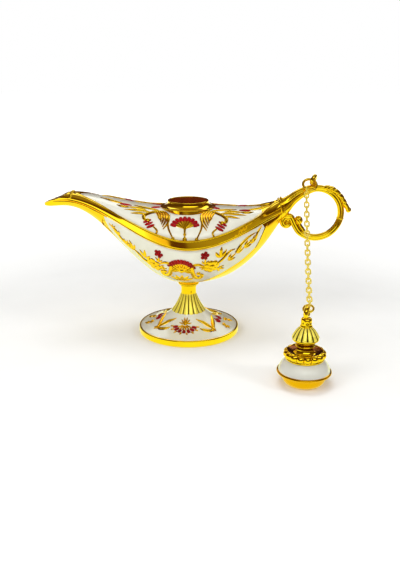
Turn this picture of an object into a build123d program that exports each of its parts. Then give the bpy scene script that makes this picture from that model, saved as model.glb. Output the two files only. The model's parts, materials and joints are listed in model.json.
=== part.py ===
from build123d import *
import math
import os

# A genie oil lamp with its lid taken off and stood beside it on the table.
# Millimetres. Z is up and the foot stands on Z = 0, on the axis of the neck.
# The spout points to -X, the handle to +X, and the lid stands in front, towards -Y.

# Hull: a boat-shaped bowl, closed by a domed deck, with the seam between them
spout_reach = 74.8
tail_reach = 49.0
beam = 54.0
spout_tip_width = 5.0
tail_width = 8.0
spout_taper = 1.6
spout_fullness = 1.63
tail_taper = 2.0
tail_fullness = 1.2
seam_height = 54.0
spout_rise = 20.1
spout_level = 10.2
tail_rise = 17.1
tail_crest_beyond = 19.5
hull_depth = 25.6
spout_keel_rise = 40.9
spout_keel_fullness = 1.15
tail_keel_rise = 33.0
tail_keel_fullness = 2.5
deck_rise = 15.2
deck_fullness = 1.9
spout_deck = 1.2
tail_deck = 3.6
tail_deck_onset = 6.0
hull_wall = 1.6
spout_roof = 0.4
spout_tip_wall = 2.0
tail_block = 11.0
spout_stations = 8
tail_stations = 6

# Spout mouth: a slanting cut that leaves a scoop below and a lip above
mouth_length = 14.8
mouth_lip_rise = 2.75
mouth_slope = 20.5

# Band round the seam, and the enamel laid into the hull and the deck
band_height = 4.4
band_proud = 0.9
enamel_depth = 0.5
bare_spout = 32.8
bare_tail = 11.0
hull_enamel_end_round = 2.4
keel_strip = 0.7
tail_strip = 2.6
deck_bare_spout = 18.8

# Neck collar
mouth_radius = 10.1
collar_wall = 1.2
collar_flange_radius = 13.9
collar_flange_drop = 1.2
collar_waist_rise = 1.5
collar_rise = 3.1
collar_rim_overhang = 0.5
collar_skirt = 5.0
collar_spigot = 4.2
fit_clearance = 0.05

# Foot: a round base with a fluted stem, screwed up into the hull
foot_beyond_beam = 0.2
foot_edge_round = 1.3
foot_rim_height = 3.6
foot_shelf_inset = 2.3
foot_slope_mid_radius = 16.5
foot_slope_mid_share = 0.35
flare_bottom_radius = 9.1
flare_height = 10.0
flare_mid_radius = 5.7
flare_mid_rise = 4.0
stem_radius = 4.2
stem_length = 4.6
cup_under_keel = 2.2
cup_radius = 5.3
cup_over_keel = 2.6
flute_count = 18
flute_depth_bottom = 0.8
flute_depth_top = 0.3
flute_sections = 5
screw_radius = 2.0
screw_head_radius = 3.4
screw_head_height = 2.4
screw_length = 18.0
boss_radius = 4.6
boss_over_keel = 5.0

# Handle: a tapering shaft from the tail into a round loop, with two curls and a leaf
loop_from_tail = 18.2
loop_drop = 2.04
loop_radius = 13.1
bar_radius = 1.8
knuckle_proud = 0.2
loop_start = 116.0
loop_end = -112.0
shaft_end_radius = 2.4
shaft_mid_radius = 3.2
shaft_mid_reach = 6.0
shaft_mid_rise = 5.46
shaft_mid_slope = 38.0
shaft_spigot_radius = 1.8
shaft_spigot_length = 7.0
arm_radius = 1.5
curl_reach = 3.4
curl_drop = 7.04
curl_radius = 3.1
curl_half_width = 1.5
curl_dish = 0.5
curl_pad_radius = 1.2
curl_pad_slope = 115.0
bud_reach = 9.2
bud_drop = 5.74
bud_radius = 2.1
bud_stalk_angle = -122.0
bud_stalk_radius = 1.1
leaf_start_angle = 74.0
leaf_lift = 1.3
leaf_end_reach = 17.0
leaf_end_rise = 2.4
leaf_root_width = 3.0
leaf_width = 5.0
leaf_thickness = 2.2
leaf_tip_radius = 1.3
leaf_mid_angles = (54.0, 34.0)
bolster_length = 2.0
bolster_proud = 0.9

# Eye on the handle, the ring in it and the chain
eye_back = 2.2
eye_ring_radius = 1.9
eye_wire_radius = 0.85
eye_stand = 1.0
eye_peg_radius = 0.8
eye_peg_depth = 1.6
ring_radius = 3.45
ring_wire_radius = 0.55
ring_lean = (-0.55, -0.60, -0.58)
link_count = 25
link_pitch = 2.99
link_width = 2.65
link_wire = 0.55
link_play = 0.06
ring_play = 0.28
chain_heading = (-0.092, -0.995)
chain_sag = 4.5

# Lid, standing on its plug beside the lamp
lid_clearance = 0.3
plug_foot_width = 1.0
plug_round_height = 3.4
plug_height = 5.0
lid_bore_radius = 6.2
lid_bore_depth = 9.0
lid_flange_width = 2.2
lid_bead_proud = 0.4
lid_bead_height = 1.2
dome_top_inset = 3.3
dome_mid_inset = 1.0
dome_mid_rise = 3.6
dome_rise = 5.8
saucer_bottom_inset = 0.7
saucer_rim_overhang = 0.4
saucer_height = 4.2
saucer_swell_height = 1.9
saucer_lip = 0.8
saucer_well_radius = 4.4
saucer_floor = 2.2
saucer_petals = 20
saucer_petal_depth = 0.6
finial_neck_radius = 3.9
finial_foot_flare = 0.4
finial_neck_rise = 3.8
bulb_radius = 6.0
bulb_under_height = 1.9
bulb_height = 5.1
bulb_top_radius = 2.8
bulb_petals = 14
bulb_petal_depth = 0.45
knop_radius = 2.9
knop_height = 1.3
finial_tip_height = 2.9
lid_eye_radius = 1.9
lid_eye_wire_radius = 1.1
lid_eye_sink = 0.3
lid_ring_radius = 2.25
lid_ring_wire_radius = 0.4
lid_ring_lean = (0.36, 0.80, 0.48)
stud_radius = 1.5
stud_tail = 0.6
nut_across_flats = 5.5
nut_height = 2.2

spout_crest = spout_reach - spout_level
tail_crest = tail_reach + tail_crest_beyond
keel_height = seam_height - hull_depth
foot_radius = beam / 2 + foot_beyond_beam
flare_top_height = keel_height - cup_under_keel - stem_length
flare_bottom_height = flare_top_height - flare_height
flare_mid_height = flare_bottom_height + flare_mid_rise
foot_slope_mid_height = foot_rim_height + foot_slope_mid_share * (flare_bottom_height - foot_rim_height)


def ease(distance, crest):
    return (1 - math.cos(math.pi * distance / crest)) / 2


def half_beam(x):
    if x < 0:
        share = max(1 - (-x / spout_reach) ** spout_taper, 0) ** spout_fullness
        return spout_tip_width / 2 + (beam - spout_tip_width) / 2 * share
    share = max(1 - (x / tail_reach) ** tail_taper, 0) ** tail_fullness
    return tail_width / 2 + (beam - tail_width) / 2 * share


def seam_z(x):
    if x < 0:
        return seam_height + spout_rise * ease(-x, spout_crest)
    return seam_height + tail_rise * ease(x, tail_crest)


def keel_z(x):
    if x < 0:
        return keel_height + spout_keel_rise * ease(min(-x, spout_crest), spout_crest) ** spout_keel_fullness
    return keel_height + tail_keel_rise * (x / tail_reach) ** tail_keel_fullness


def deck_height(x):
    over_seam = spout_deck + (deck_rise - spout_deck) * (2 * half_beam(x) / beam) ** deck_fullness
    if x > 0:
        over_seam += tail_deck * (x / tail_reach) ** tail_deck_onset
    return over_seam


def body_section(x, grow):
    at = Plane(origin=(x, 0, seam_z(x)), x_dir=(0, 1, 0), z_dir=(1, 0, 0))
    width = half_beam(x) + grow
    upper = max(deck_height(x) + grow, spout_roof)
    lower = seam_z(x) - keel_z(x) + grow
    over = Edge.make_ellipse(width, upper, at, 0, 180)
    under = Edge.make_ellipse(width, lower, at, 180, 360)
    return Wire([over, under])


def body_form(grow, front_end, rear_end):
    front = [-front_end * i / spout_stations for i in range(spout_stations, 0, -1)]
    rear = [rear_end * i / tail_stations for i in range(tail_stations + 1)]
    return Solid.make_loft([body_section(x, grow) for x in front + rear])


def side_prism(edges):
    outline = Plane.XZ * make_face(edges)
    return extrude(outline, amount=beam, both=True)


def line_along(height_at, first, last, count=9):
    return [(first + (last - first) * i / (count - 1), height_at(first + (last - first) * i / (count - 1)))
            for i in range(count)]


def strip_between(low_at, high_at, first, last, round_ends):
    low = line_along(low_at, first, last)
    high = line_along(high_at, last, first)
    edges = [Spline(*low), Spline(*high)]
    for start, end, out in ((low[-1], high[0], round_ends), (high[-1], low[0], -round_ends)):
        middle = ((start[0] + end[0]) / 2 + out, (start[1] + end[1]) / 2)
        edges.append(ThreePointArc(start, middle, end) if round_ends else Line(start, end))
    return side_prism(edges)


def turned(edges):
    return revolve(Plane.XZ * make_face(edges), Axis.Z)


def petal_wire(radius, depth, count, height):
    edges = []
    for i in range(count):
        points = []
        for part, reach in ((0, 0), (0.5, depth), (1, 0)):
            turn = 2 * math.pi * (i + part) / count
            points.append(((radius + reach) * math.cos(turn), (radius + reach) * math.sin(turn), height))
        edges.append(ThreePointArc(*points))
    return Wire(edges)


def petal_form(rows, count):
    return Solid.make_loft([petal_wire(radius, depth, count, height) for radius, depth, height in rows])


def bored(radius, low, high):
    return Pos(0, 0, (low + high) / 2) * Cylinder(radius, high - low)


def unit(vector):
    return Vector(*vector).normalized()


# The hull, its deck and the space inside
outer = body_form(0, spout_reach, tail_reach)
enamel_floor = body_form(-enamel_depth, spout_reach, tail_reach)
cavity = body_form(-hull_wall, spout_reach - spout_tip_wall, tail_reach - tail_block)
below_seam = side_prism([
    Spline(*line_along(seam_z, -spout_reach, tail_reach, spout_stations + tail_stations + 1)),
    Polyline((tail_reach, seam_z(tail_reach)), (tail_reach, 0), (-spout_reach, 0),
             (-spout_reach, seam_z(-spout_reach))),
])
mouth_x = mouth_length - spout_reach
mouth_cut = Pos(mouth_x, 0, seam_z(mouth_x) + mouth_lip_rise) * Rot(0, -mouth_slope, 0) * Box(
    spout_reach, beam, spout_reach, align=(Align.MAX, Align.CENTER, Align.MIN))
shell = outer - cavity - mouth_cut
enamel_end = tail_reach - bare_tail
hull_panel = strip_between(
    lambda x: keel_z(x) + keel_strip + tail_strip * max(x, 0) / enamel_end,
    lambda x: seam_z(x) - band_height / 2,
    bare_spout - spout_reach, enamel_end, hull_enamel_end_round)
deck_panel = strip_between(
    lambda x: seam_z(x) + band_height / 2,
    lambda x: seam_z(x) + deck_rise + band_height,
    deck_bare_spout - spout_reach, enamel_end, 0)
skin = outer - enamel_floor
hull_enamel = skin & hull_panel
deck_crown = seam_height + deck_rise
collar_top = deck_crown + collar_rise
collar_seat = bored(collar_flange_radius, seam_height, collar_top)
deck_enamel = (skin & deck_panel) - collar_seat

# Handle, with a spigot that goes into the tail across the seam
tail_top = seam_z(tail_reach) + deck_height(tail_reach)
tail_mid = (tail_top + keel_z(tail_reach)) / 2
tail_half_height = (tail_top - keel_z(tail_reach)) / 2
loop_x = tail_reach + loop_from_tail
loop_z = tail_mid - loop_drop
curl_x = tail_reach + curl_reach
curl_z = tail_mid - curl_drop
bud_x = tail_reach + bud_reach
bud_z = tail_mid - bud_drop


def on_loop(angle, lift=0.0):
    turn = math.radians(angle)
    reach = loop_radius + lift
    return Vector(loop_x + reach * math.cos(turn), 0, loop_z + reach * math.sin(turn))


def along_loop(angle):
    turn = math.radians(angle)
    return Vector(math.sin(turn), 0, -math.cos(turn))


def oval(at, ahead, width, height):
    plane = Plane(origin=at, x_dir=(0, 1, 0), z_dir=ahead)
    return Wire([Edge.make_ellipse(width, height, plane)])


def make_shaft():
    slope = math.radians(shaft_mid_slope)
    start = oval((tail_reach, 0, tail_mid), (1, 0, 0), tail_width / 2, tail_half_height)
    middle = oval((tail_reach + shaft_mid_reach, 0, tail_mid + shaft_mid_rise),
                  (math.cos(slope), 0, math.sin(slope)), shaft_mid_radius, shaft_mid_radius)
    end = oval(on_loop(loop_start), along_loop(loop_start), shaft_end_radius, shaft_end_radius)
    return Solid.make_loft([start, middle, end])


def swept_bar(path, radius):
    section = Plane(origin=path @ 0, z_dir=path % 0) * Circle(radius)
    return sweep(section, path=path)


def make_loop():
    middle = (loop_start + loop_end) / 2
    arc = ThreePointArc(on_loop(loop_start), on_loop(middle), on_loop(loop_end))
    return swept_bar(arc, bar_radius) + Pos(*on_loop(loop_start)) * Sphere(shaft_end_radius + knuckle_proud)


def make_arm():
    start = on_loop(loop_end)
    arc = TangentArc(start, (curl_x + curl_radius - arm_radius, 0, curl_z), tangent=along_loop(loop_end))
    return swept_bar(arc, arm_radius) + Pos(*start) * Sphere(bar_radius + knuckle_proud)


def disc_across(x, z, radius, half_width):
    return Pos(x, 0, z) * Rot(90, 0, 0) * Cylinder(radius, 2 * half_width)


def curl_pad(room):
    slope = math.radians(curl_pad_slope)
    start = Vector(curl_x, 0, curl_z)
    reach = (curl_radius + curl_pad_radius + room) * Vector(math.cos(slope), 0, math.sin(slope))
    return swept_bar(Line(start, start + reach), curl_pad_radius + room)


def make_curl():
    curl = disc_across(curl_x, curl_z, curl_radius, curl_half_width)
    return fillet(curl.edges(), curl_dish) + curl_pad(0)


def make_bud():
    bud = disc_across(bud_x, bud_z, bud_radius, curl_half_width)
    bud = fillet(bud.edges(), curl_dish)
    stalk = swept_bar(Line(on_loop(bud_stalk_angle), (bud_x, 0, bud_z)), bud_stalk_radius)
    return bud + stalk


def make_leaf():
    tip = Vector(loop_x + leaf_end_reach, 0, loop_z + leaf_end_rise)
    low = on_loop(leaf_mid_angles[1], leaf_lift)
    sections = [oval(on_loop(leaf_start_angle, leaf_lift / 2), along_loop(leaf_start_angle),
                     leaf_root_width / 2, leaf_thickness / 2)]
    for angle in leaf_mid_angles:
        at = on_loop(angle, leaf_lift)
        sections.append(oval(at, along_loop(angle), leaf_width / 2, leaf_thickness / 2))
    sections.append(oval(tip, (tip - low).normalized(), leaf_tip_radius, leaf_tip_radius))
    return Solid.make_loft(sections) + Pos(*tip) * Sphere(leaf_tip_radius + knuckle_proud)


shaft = make_shaft()
spigot = swept_bar(Line((tail_reach, 0, tail_mid), (tail_reach - shaft_spigot_length, 0, tail_mid)),
                   shaft_spigot_radius)
spigot_hole = swept_bar(
    Line((tail_reach, 0, tail_mid), (tail_reach - shaft_spigot_length - fit_clearance, 0, tail_mid)),
    shaft_spigot_radius + fit_clearance)
handle = shaft + make_loop() + make_arm() + make_curl() + make_bud() + make_leaf()

# Eye, standing on the top of the handle with its peg sunk in it
ring_down = unit(ring_lean)
eye_axis = (Vector(1, 0, 0) - ring_down * ring_down.X).normalized()
eye_x = loop_x - eye_back
eye_rise = math.sqrt(loop_radius ** 2 - eye_back ** 2)
bar_top = loop_z + eye_rise + bar_radius
eye_z = bar_top + eye_stand + eye_ring_radius
eye_at = Vector(eye_x, 0, eye_z)
peg_bottom = bar_top - eye_peg_depth
eye = Plane(origin=eye_at, z_dir=eye_axis) * Torus(eye_ring_radius, eye_wire_radius)
eye_peg_at = Pos(eye_x, 0, peg_bottom)
peg_height = eye_z - eye_ring_radius - peg_bottom
chain_eye = eye + eye_peg_at * Cylinder(
    eye_peg_radius, peg_height, align=(Align.CENTER, Align.CENTER, Align.MIN))
peg_hole = Pos(eye_x, 0, peg_bottom - fit_clearance) * Cylinder(
    eye_peg_radius + fit_clearance, peg_height, align=(Align.CENTER, Align.CENTER, Align.MIN))
handle = handle - peg_hole + spigot

# Bolster ring round the start of the handle, against the end of the tail
bolster = Pos(tail_reach, 0, tail_mid) * Rot(0, 90, 0) * extrude(
    Ellipse(tail_half_height + bolster_proud, tail_width / 2 + bolster_proud), amount=bolster_length)
girdle = (body_form(band_proud, spout_reach, tail_reach) & strip_between(
    lambda x: seam_z(x) - band_height / 2, lambda x: seam_z(x) + band_height / 2,
    -spout_reach, tail_reach, 0)) - outer - mouth_cut
curl_room = disc_across(curl_x, curl_z, curl_radius + fit_clearance, curl_half_width + fit_clearance)
tail_bolster = bolster - shaft - curl_room - curl_pad(fit_clearance)

# Neck collar, its flange shaped to the deck and its spigot through it
spigot_radius = mouth_radius + collar_wall
collar_flange_edge = deck_crown - collar_flange_drop
collar_waist_height = deck_crown + collar_waist_rise
skirt_low = collar_flange_edge - collar_skirt
rim_edge = collar_top - collar_wall / 2
flange = turned([
    Polyline((spigot_radius, skirt_low), (collar_flange_radius, skirt_low),
             (collar_flange_radius, collar_flange_edge)),
    ThreePointArc((collar_flange_radius, collar_flange_edge),
                  (spigot_radius + collar_rim_overhang, collar_waist_height - collar_rim_overhang),
                  (spigot_radius, collar_waist_height)),
    ThreePointArc((spigot_radius, collar_waist_height),
                  (spigot_radius + collar_rim_overhang, (collar_waist_height + rim_edge) / 2),
                  (spigot_radius, rim_edge)),
    Line((spigot_radius, rim_edge), (spigot_radius, skirt_low)),
]) - outer
spigot_low = collar_flange_edge - collar_spigot
neck = turned([
    Polyline((spigot_radius, rim_edge), (spigot_radius, spigot_low), (mouth_radius, spigot_low),
             (mouth_radius, rim_edge)),
    ThreePointArc((mouth_radius, rim_edge), (mouth_radius + collar_wall / 2, collar_top),
                  (spigot_radius, rim_edge)),
])
neck_collar = flange + neck

# Foot
foot_shelf_radius = foot_radius - foot_shelf_inset
cup_height = keel_height - cup_under_keel
cup_top = keel_height + cup_over_keel
boss_top = keel_height + boss_over_keel
screw_low = boss_top - screw_length
foot_slope = ThreePointArc((foot_shelf_radius, foot_rim_height),
                           (foot_slope_mid_radius, foot_slope_mid_height),
                           (flare_bottom_radius, flare_bottom_height))
flare = ThreePointArc((flare_bottom_radius, flare_bottom_height), (flare_mid_radius, flare_mid_height),
                      (stem_radius, flare_top_height))
rest_radius = foot_radius - foot_edge_round
foot = turned([
    Line((0, 0), (rest_radius, 0)),
    ThreePointArc((rest_radius, 0), (foot_radius, foot_rim_height / 2), (rest_radius, foot_rim_height)),
    Line((rest_radius, foot_rim_height), (foot_shelf_radius, foot_rim_height)),
    foot_slope,
    flare,
    Line((stem_radius, flare_top_height), (stem_radius, cup_height)),
    ThreePointArc((stem_radius, cup_height), (cup_radius, cup_height + cup_radius - stem_radius),
                  (cup_radius, cup_height + 2 * (cup_radius - stem_radius))),
    Polyline((cup_radius, cup_height + 2 * (cup_radius - stem_radius)), (cup_radius, cup_top),
             (0, cup_top), (0, 0)),
])
flute_rows = []
for step in range(flute_sections):
    share = step / (flute_sections - 1)
    spot = flare @ share
    depth = flute_depth_bottom + (flute_depth_top - flute_depth_bottom) * share
    flute_rows.append((spot.X, depth, spot.Y))
flutes = petal_form(flute_rows, flute_count)
enamel_inner = flare_bottom_radius + flute_depth_bottom
slope_ring = turned([
    foot_slope,
    Line((flare_bottom_radius, flare_bottom_height),
         (flare_bottom_radius, flare_bottom_height - enamel_depth)),
    Pos(0, -enamel_depth) * foot_slope,
    Line((foot_shelf_radius, foot_rim_height), (foot_shelf_radius, foot_rim_height - enamel_depth)),
])
foot_enamel = slope_ring - bored(enamel_inner, 0, cup_top) - flutes
tapped_hole = bored(screw_radius + fit_clearance, screw_low - fit_clearance, boss_top + screw_head_height)
foot = foot + flutes - foot_enamel - outer - tapped_hole
foot_screw = bored(screw_radius, screw_low, boss_top) + bored(
    screw_head_radius, boss_top, boss_top + screw_head_height)
boss = bored(boss_radius, keel_height + hull_wall / 2, boss_top)

lower_hull = (shell & below_seam) - hull_enamel - spigot_hole + boss - tapped_hole
upper_deck = (shell - below_seam) - deck_enamel - spigot_hole - bored(
    spigot_radius + fit_clearance, seam_height, collar_top)

# Ring in the handle's eye
ring_slack = eye_ring_radius - eye_wire_radius - ring_wire_radius - link_play
ring_center = eye_at + ring_down * (ring_slack + ring_radius)
handle_ring = Plane(origin=ring_center, x_dir=eye_axis, z_dir=eye_axis.cross(ring_down)) * Torus(
    ring_radius, ring_wire_radius)
ring_bottom = ring_center + ring_down * ring_radius

# Lid, made on its own axis and then stood in its place
plug_radius = mouth_radius - lid_clearance
plug_foot_radius = lid_bore_radius + plug_foot_width
lid_flange_radius = plug_radius + lid_flange_width
flange_top = plug_height + lid_bead_height
dome_mid_radius = lid_flange_radius - dome_mid_inset
dome_top_radius = lid_flange_radius - dome_top_inset
dome_mid_height = flange_top + dome_mid_rise
dome_top_height = flange_top + dome_rise
dome_edge = ThreePointArc((lid_flange_radius, flange_top), (dome_mid_radius, dome_mid_height),
                          (dome_top_radius, dome_top_height))
enamel_edge = ThreePointArc((lid_flange_radius - enamel_depth, flange_top),
                            (dome_mid_radius - enamel_depth, dome_mid_height - enamel_depth / 2),
                            (dome_top_radius - enamel_depth, dome_top_height))
stud_hole = stud_radius + fit_clearance
lid_enamel = turned([
    dome_edge,
    Line((dome_top_radius, dome_top_height), (dome_top_radius - enamel_depth, dome_top_height)),
    enamel_edge,
    Line((lid_flange_radius - enamel_depth, flange_top), (lid_flange_radius, flange_top)),
])
lid_cap = turned([
    Line((lid_bore_radius, 0), (plug_foot_radius, 0)),
    ThreePointArc((plug_foot_radius, 0),
                  (plug_radius - (plug_radius - plug_foot_radius) / 4, plug_round_height / 3),
                  (plug_radius, plug_round_height)),
    Polyline((plug_radius, plug_round_height), (plug_radius, plug_height), (lid_flange_radius, plug_height)),
    ThreePointArc((lid_flange_radius, plug_height),
                  (lid_flange_radius + lid_bead_proud, plug_height + lid_bead_height / 2),
                  (lid_flange_radius, flange_top)),
    Line((lid_flange_radius, flange_top), (lid_flange_radius - enamel_depth, flange_top)),
    enamel_edge,
    Polyline((dome_top_radius - enamel_depth, dome_top_height), (stud_hole, dome_top_height),
             (stud_hole, lid_bore_depth), (lid_bore_radius, lid_bore_depth), (lid_bore_radius, 0)),
])
saucer_rim_radius = dome_top_radius + saucer_rim_overhang
saucer_top = dome_top_height + saucer_height
finial_neck_top = saucer_top + finial_neck_rise
bulb_low_height = finial_neck_top + bulb_under_height
bulb_top_height = bulb_low_height + bulb_height
finial_top = bulb_top_height + knop_height + finial_tip_height
well_floor = dome_top_height + saucer_floor
well_radius = saucer_rim_radius - saucer_lip
saucer_well = turned([
    Line((0, well_floor), (saucer_well_radius, well_floor)),
    ThreePointArc((saucer_well_radius, well_floor),
                  ((saucer_well_radius + well_radius) / 2 + saucer_lip / 2,
                   (well_floor + saucer_top) / 2 - saucer_lip / 2),
                  (well_radius, saucer_top)),
    Polyline((well_radius, saucer_top), (0, saucer_top), (0, well_floor)),
])
lid_saucer = petal_form([
    (dome_top_radius - saucer_bottom_inset, saucer_petal_depth / 3, dome_top_height),
    (saucer_rim_radius, saucer_petal_depth, dome_top_height + saucer_swell_height),
    (saucer_rim_radius, saucer_petal_depth / 2, saucer_top),
], saucer_petals) - saucer_well - bored(stud_hole, 0, finial_top)
nut_top = lid_bore_depth
nut_low = nut_top - nut_height
finial_turning = turned([
    Polyline((0, nut_low - stud_tail), (stud_radius, nut_low - stud_tail), (stud_radius, well_floor),
             (finial_neck_radius + finial_foot_flare, well_floor)),
    ThreePointArc((finial_neck_radius + finial_foot_flare, well_floor),
                  (finial_neck_radius - finial_foot_flare, (well_floor + finial_neck_top) / 2),
                  (finial_neck_radius + finial_foot_flare, finial_neck_top)),
    ThreePointArc((finial_neck_radius + finial_foot_flare, finial_neck_top),
                  (bulb_radius - finial_foot_flare,
                   (finial_neck_top + bulb_low_height) / 2 - finial_foot_flare),
                  (bulb_radius, bulb_low_height)),
    Line((bulb_radius, bulb_low_height), (bulb_top_radius, bulb_top_height)),
    ThreePointArc((bulb_top_radius, bulb_top_height), (knop_radius, bulb_top_height + knop_height / 2),
                  (bulb_top_radius, bulb_top_height + knop_height)),
    Polyline((bulb_top_radius, bulb_top_height + knop_height), (lid_eye_radius, finial_top),
             (0, finial_top), (0, nut_low - stud_tail)),
])
bulb = petal_form([
    (bulb_radius, bulb_petal_depth, bulb_low_height),
    ((bulb_radius + bulb_top_radius) / 2 + bulb_petal_depth, bulb_petal_depth,
     (bulb_low_height + bulb_top_height) / 2),
    (bulb_top_radius, bulb_petal_depth / 3, bulb_top_height),
], bulb_petals)
lid_ring_up = unit(lid_ring_lean)
lid_eye_axis = lid_ring_up.cross(Vector(0, 0, 1)).normalized()
lid_eye_at = Vector(0, 0, finial_top + lid_eye_radius + lid_eye_wire_radius - lid_eye_sink)
lid_eye = Plane(origin=lid_eye_at, z_dir=lid_eye_axis) * Torus(lid_eye_radius, lid_eye_wire_radius)
lid_finial = finial_turning + bulb + lid_eye
nut_outline = RegularPolygon(nut_across_flats / 2, 6, major_radius=False) - Circle(stud_hole)
lid_nut = Pos(0, 0, nut_low) * extrude(nut_outline, amount=nut_height)
lid_ring_slack = lid_eye_radius - lid_eye_wire_radius - lid_ring_wire_radius - link_play
lid_ring_center = lid_eye_at + lid_ring_up * (lid_ring_slack + lid_ring_radius)
lid_ring = Plane(origin=lid_ring_center, x_dir=lid_eye_axis, z_dir=lid_eye_axis.cross(lid_ring_up)) * Torus(
    lid_ring_radius, lid_ring_wire_radius)
lid_ring_tip = lid_ring_center + lid_ring_up * lid_ring_radius

# Chain: equal links on a slack line from the ring to the lid's ring, each hooked through the last.
# A link's hook is the middle of its wire at its lower end.
link_length = link_pitch + link_wire + link_play
heading = unit((*chain_heading, 0))


def chain_hooks(span):
    drop = lid_ring_tip.Z - ring_bottom.Z
    hooks = [ring_bottom]
    run = 0.0
    for index in range(link_count):
        step = link_pitch
        if index == 0:
            step = link_length - ring_wire_radius - link_wire / 2 - ring_play
        if index == link_count - 1:
            step = step - lid_ring_wire_radius - link_wire / 2 - ring_play
        low, high = 0.0, step
        for _ in range(50):
            ahead = (low + high) / 2
            share = (run + ahead) / span
            sink = drop * share - 4 * chain_sag * share * (1 - share)
            if math.hypot(ahead, ring_bottom.Z + sink - hooks[-1].Z) < step:
                low = ahead
            else:
                high = ahead
        run += ahead
        hooks.append(ring_bottom + heading * run + Vector(0, 0, sink))
    return hooks, run


def chain_span():
    low, high = link_pitch, link_pitch * link_count
    for _ in range(60):
        span = (low + high) / 2
        if chain_hooks(span)[1] > span:
            low = span
        else:
            high = span
    return span


def make_link():
    bend = link_width - link_wire
    path = SlotCenterToCenter(link_length - bend, bend).wire()
    return swept_bar(path, link_wire / 2)


span = chain_span()
hooks = chain_hooks(span)[0]
lid_place = hooks[-1] - lid_ring_tip
stand = Pos(lid_place.X, lid_place.Y, 0)
plain_link = make_link()
across = eye_axis
links = []
for index in range(link_count):
    ahead = (hooks[index + 1] - hooks[index]).normalized()
    across = ahead.cross(across).normalized()
    start = hooks[index] - ahead * (link_wire + link_play)
    if index == 0:
        start = hooks[0] - ahead * (ring_wire_radius + link_wire / 2 + ring_play)
    middle = start + ahead * (link_length / 2)
    links.append(Plane(origin=middle, x_dir=ahead, z_dir=ahead.cross(across)) * plain_link)

pieces = {
    "foot": foot,
    "foot_enamel": foot_enamel,
    "foot_screw": foot_screw,
    "lower_hull": lower_hull,
    "hull_enamel": hull_enamel,
    "upper_deck": upper_deck,
    "deck_enamel": deck_enamel,
    "girdle_band": girdle,
    "neck_collar": neck_collar,
    "handle": handle,
    "tail_bolster": tail_bolster,
    "chain_eye": chain_eye,
    "handle_ring": handle_ring,
    "lid_ring": stand * lid_ring,
    "lid_finial": stand * lid_finial,
    "lid_saucer": stand * lid_saucer,
    "lid_cap": stand * lid_cap,
    "lid_enamel": stand * lid_enamel,
    "lid_nut": stand * lid_nut,
}
for index, link in enumerate(links):
    pieces[f"chain_link_{index + 1:02d}"] = link

os.makedirs("parts", exist_ok=True)
for name, piece in pieces.items():
    export_step(piece, f"parts/{name}.step")
print("lid stands at", round(lid_place.X, 2), round(lid_place.Y, 2), "height error", round(lid_place.Z, 4))
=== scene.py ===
import json
from math import asin, atan2, cos, degrees, exp, hypot, pi, radians, sin, sqrt, tan

import bmesh
import bpy
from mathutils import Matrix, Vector


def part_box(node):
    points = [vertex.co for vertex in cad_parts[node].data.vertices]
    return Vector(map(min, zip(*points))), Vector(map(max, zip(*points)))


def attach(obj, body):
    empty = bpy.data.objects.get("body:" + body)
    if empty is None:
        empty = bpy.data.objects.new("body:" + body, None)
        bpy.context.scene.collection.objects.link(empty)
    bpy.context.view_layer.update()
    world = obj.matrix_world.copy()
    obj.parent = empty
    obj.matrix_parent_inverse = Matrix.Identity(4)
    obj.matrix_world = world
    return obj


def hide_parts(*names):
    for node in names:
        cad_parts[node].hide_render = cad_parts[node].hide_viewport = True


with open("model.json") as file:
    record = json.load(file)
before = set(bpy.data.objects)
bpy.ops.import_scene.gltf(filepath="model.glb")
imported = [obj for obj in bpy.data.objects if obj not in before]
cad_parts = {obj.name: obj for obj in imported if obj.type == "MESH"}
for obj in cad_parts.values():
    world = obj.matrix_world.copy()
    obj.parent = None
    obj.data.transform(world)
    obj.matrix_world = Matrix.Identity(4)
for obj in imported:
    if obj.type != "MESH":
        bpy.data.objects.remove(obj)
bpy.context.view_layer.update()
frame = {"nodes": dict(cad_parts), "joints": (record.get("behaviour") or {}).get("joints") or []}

# Shapes are worked out in millimetres, in the frame's axes, and turned into metres as they become meshes.
# Points nearer to each other than the weld become one.
mm = 0.001
weld = 0.002


# A dict whose values are read by their names, one for each piece
class Settings(dict):
    __getattr__ = dict.__getitem__


# Meshes

def mix(a, b, share):
    return a + (b - a) * share


def smooth(value, low, high):
    share = min(max((value - low) / (high - low), 0), 1)
    return share * share * (3 - 2 * share)


def spline(points, count):
    points = [Vector(p) for p in points]
    padded = [2 * points[0] - points[1]] + points + [2 * points[-1] - points[-2]]
    line = []
    for i in range(count):
        place = (len(points) - 1) * i / (count - 1)
        start = min(int(place), len(points) - 2)
        t = place - start
        a, b, c, d = padded[start:start + 4]
        line.append(0.5 * (2 * b + (c - a) * t + (2 * a - 5 * b + 4 * c - d) * t ** 2
                           + (3 * b - a - 3 * c + d) * t ** 3))
    return line


def circleOf(start, through, end):
    (ax, ay), (bx, by), (cx, cy) = start, through, end
    d = 2 * (ax * (by - cy) + bx * (cy - ay) + cx * (ay - by))
    a, b, c = ax * ax + ay * ay, bx * bx + by * by, cx * cx + cy * cy
    ux = (a * (by - cy) + b * (cy - ay) + c * (ay - by)) / d
    uy = (a * (cx - bx) + b * (ax - cx) + c * (bx - ax)) / d
    return ux, uy, hypot(ax - ux, ay - uy)


def arc(start, through, end, count):
    ux, uy, radius = circleOf(start, through, end)
    first, middle, last = (atan2(y - uy, x - ux) for x, y in (start, through, end))
    middle = (middle - first) % (2 * pi)
    last = (last - first) % (2 * pi)
    if middle > last:
        last -= 2 * pi
    turns = [first + last * i / (count - 1) for i in range(count)]
    return [(ux + radius * cos(turn), uy + radius * sin(turn)) for turn in turns]


# Arcs one after the other, each given by a point on its way, its end and its count of points
def arcs(start, *steps):
    line = []
    for through, end, count in steps:
        line += arc(start, through, end, count)
        start = end
    return line


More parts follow.
